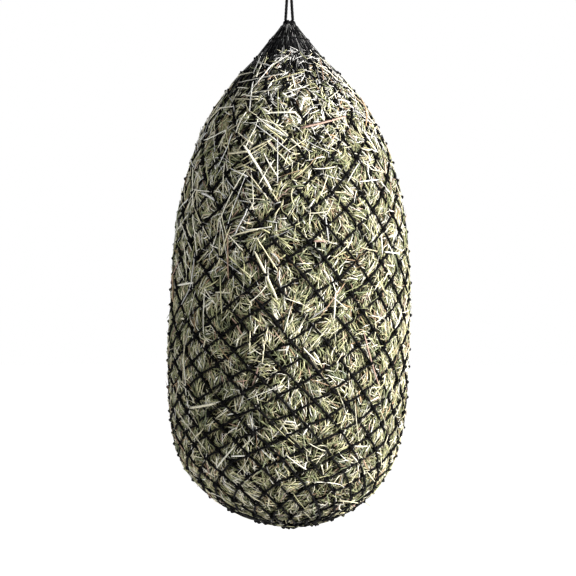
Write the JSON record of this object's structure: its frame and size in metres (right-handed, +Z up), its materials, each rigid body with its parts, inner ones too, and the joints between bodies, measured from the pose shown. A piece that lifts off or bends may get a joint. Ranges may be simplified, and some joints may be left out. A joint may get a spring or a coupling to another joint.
{
  "type": "hay net",
  "caption": "Hanging hay net: black knotted twine mesh drawn tight over a packed barrel of hay, gathered to a drawcord tied in a hanging loop.",
  "frame": {"origin": "inside top of the hanging loop, where the hook bears, on the axis of the filled net", "axes": "+Z up along the net's axis; -Y faces the viewer; +X to the viewer's right"},
  "size_m": [0.4243, 0.4245, 1.0295],
  "materials": {
    "hay": "matte",
    "twine": "matte",
    "cord": "matte"
  },
  "bodies": {
    "loop": {"hanging_loop_front": "cord", "hanging_loop_back": "cord"},
    "cord_knot": {"loop_knot": "cord", "drawcord_tail_left": "cord", "drawcord_tail_right": "cord"},
    "legs": {"drawcord_leg_left": "cord", "drawcord_leg_right": "cord"},
    "net": {"base_bights": "twine", "base_ring": "cord", "drawcord_mouth_ring": "cord", "hay_flake_01": "hay", "hay_flake_02": "hay", "hay_flake_03": "hay", "hay_flake_04": "hay", "hay_flake_05": "hay", "hay_flake_06": "hay", "hay_flake_07": "hay", "mouth_bights": "twine", "net_course_01": "twine", "net_course_02": "twine", "net_course_03": "twine", "net_course_04": "twine", "net_course_05": "twine", "net_course_06": "twine", "net_course_07": "twine", "net_course_08": "twine", "net_course_09": "twine", "net_course_10": "twine", "net_course_11": "twine", "net_course_12": "twine", "net_course_13": "twine", "net_course_14": "twine", "net_course_15": "twine", "net_course_16": "twine", "net_course_17": "twine", "net_course_18": "twine", "net_course_19": "twine", "net_course_20": "twine", "net_course_21": "twine", "net_course_22": "twine", "net_course_23": "twine", "net_course_24": "twine", "net_course_25": "twine", "net_course_26": "twine", "net_course_27": "twine", "net_course_28": "twine", "net_course_29": "twine", "net_course_30": "twine", "net_course_31": "twine", "net_course_32": "twine", "net_course_33": "twine", "net_course_34": "twine"}
  },
  "joints": [
    {"name": "side_swing", "type": "hinge", "parent": "loop", "child": "cord_knot", "pos_m": [0, 0, -0.06], "axis": [0, 1, 0], "range_deg": [-35, 35]},
    {"name": "fore_aft_swing", "type": "hinge", "parent": "cord_knot", "child": "legs", "pos_m": [0, 0, -0.06], "axis": [1, 0, 0], "range_deg": [-35, 35]},
    {"name": "net_spin", "type": "hinge", "parent": "legs", "child": "net", "pos_m": [0, 0, -0.141], "axis": [0, 0, 1], "range_deg": [-150, 150]}
  ]
}
